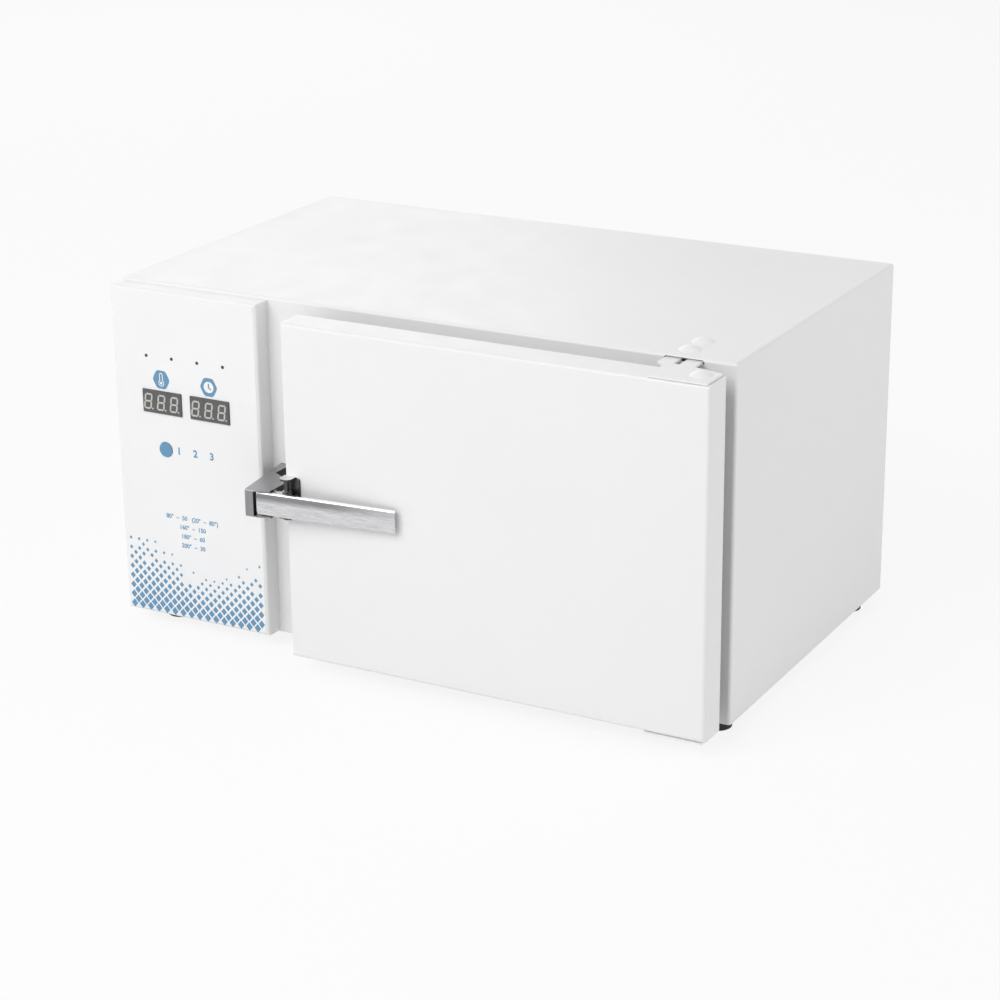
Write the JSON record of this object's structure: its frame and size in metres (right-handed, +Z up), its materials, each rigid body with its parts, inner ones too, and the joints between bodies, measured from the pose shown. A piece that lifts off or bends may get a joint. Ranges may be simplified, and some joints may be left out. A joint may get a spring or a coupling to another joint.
{
  "type": "dry heat sterilizer",
  "caption": "Bench-top dry heat sterilizer: insulated cabinet with a digital control panel at the left, a side-hinged door with a lever latch, and sliding slotted trays.",
  "frame": {"origin": "under the middle of the whole object's box, on the surface that the feet stand on", "axes": "+X to the right seen from the front, -Y out of the front, +Z up"},
  "size_m": [0.545, 0.383, 0.2984],
  "materials": {
    "white_enamel": "smooth white powder coat",
    "zinc_sheet": "zinc plated sheet",
    "stainless_liner": "satin stainless sheet",
    "stainless_keeper": "brushed stainless sheet",
    "stainless_handle": "brushed stainless channel",
    "steel_pin": "turned steel",
    "fastener_steel": "zinc plated",
    "aluminium_heater": "foil faced flat heater",
    "mineral_wool": "pressed mineral wool",
    "probe_steel": "polished sheath",
    "cutout_body": "moulded phenolic",
    "overlay_film": "printed white polyester film",
    "display_lens": "dark tinted display window",
    "led_lens": "smoked lens, unlit",
    "circuit_board": "green solder mask",
    "nylon_post": "natural nylon",
    "switch_body": "black moulding",
    "button_plastic": "satin blue key",
    "transformer_iron": "varnished core and coil",
    "terminal_plastic": "natural nylon",
    "inlet_plastic": "black moulding",
    "rocker_plastic": "black key",
    "cap_plastic": "white moulded cap",
    "gasket_silicone": "light grey silicone",
    "foot_rubber": "black rubber",
    "bush_bronze": "sintered bronze"
  },
  "bodies": {
    "cabinet": {"case_front": "white_enamel", "outer_case": "white_enamel", "rear_flange": "white_enamel", "base_plate": "zinc_sheet", "rear_panel": "white_enamel", "partition_wall": "zinc_sheet", "chamber_liner": "stainless_liner", "heating_plates": "aluminium_heater", "chamber_insulation": "mineral_wool", "temperature_probe": "probe_steel", "thermal_cutout": "cutout_body", "tray_runners": "stainless_liner", "control_panel_housing": "white_enamel", "panel_overlay": "overlay_film", "temperature_display": "display_lens", "time_display": "display_lens", "indicator_leds": "led_lens", "control_board": "circuit_board", "board_spacers": "nylon_post", "button_switch": "switch_body", "power_board": "circuit_board", "board_pillars": "fastener_steel", "transformer": "transformer_iron", "terminal_block": "terminal_plastic", "power_inlet": "inlet_plastic", "power_switch_housing": "inlet_plastic", "hinge_plate_top": "white_enamel", "hinge_plate_bottom": "white_enamel", "hinge_spacers": "fastener_steel", "hinge_screws": "fastener_steel", "hinge_pins": "steel_pin", "screw_caps": "cap_plastic", "latch_keeper": "stainless_keeper", "keeper_screws": "fastener_steel", "feet": "foot_rubber", "foot_screws": "fastener_steel", "rear_panel_screws": "fastener_steel"},
    "door": {"door_outer_shell": "white_enamel", "door_inner_panel": "stainless_liner", "door_insulation": "mineral_wool", "door_gasket": "gasket_silicone", "door_panel_screws": "fastener_steel", "hinge_bushes": "bush_bronze", "latch_base": "stainless_keeper", "latch_base_rivets": "steel_pin", "latch_pin": "steel_pin", "latch_ring": "steel_pin"},
    "latch_lever": {"latch_handle": "stainless_handle"},
    "program_key": {"program_button": "button_plastic"},
    "mains_rocker": {"switch_rocker": "rocker_plastic"},
    "tray_above": {"upper_tray": "stainless_liner"},
    "tray_below": {"lower_tray": "stainless_liner"}
  },
  "joints": [
    {"name": "door_hinge", "type": "hinge", "parent": "cabinet", "child": "door", "pos_m": [0.2575, -0.1565, 0.1525], "axis": [0, 0, 1], "range_deg": [0, 115]},
    {"name": "latch_pivot", "type": "hinge", "parent": "door", "child": "latch_lever", "pos_m": [-0.08425, -0.1797, 0.14625], "axis": [0, 0, -1], "range_deg": [0, 45]},
    {"name": "program_key_press", "type": "slide", "parent": "cabinet", "child": "program_key", "axis": [0, 1, 0], "range_m": [0, 0.001], "stiffness_N_per_m": 200, "springref_m": -0.0005},
    {"name": "mains_rocker_tilt", "type": "hinge", "parent": "cabinet", "child": "mains_rocker", "pos_m": [-0.1725, 0.1864, 0.052], "axis": [1, 0, 0], "range_deg": [0, 14]},
    {"name": "upper_tray_slide", "type": "slide", "parent": "cabinet", "child": "tray_above", "axis": [0, -1, 0], "range_m": [0, 0.1105]},
    {"name": "lower_tray_slide", "type": "slide", "parent": "cabinet", "child": "tray_below", "axis": [0, -1, 0], "range_m": [0, 0.1105]}
  ],
  "couplings": [
    {"joint": "upper_tray_slide", "follows": "door_hinge", "m_per_rad": 0.055},
    {"joint": "lower_tray_slide", "follows": "door_hinge", "m_per_rad": 0.055}
  ]
}
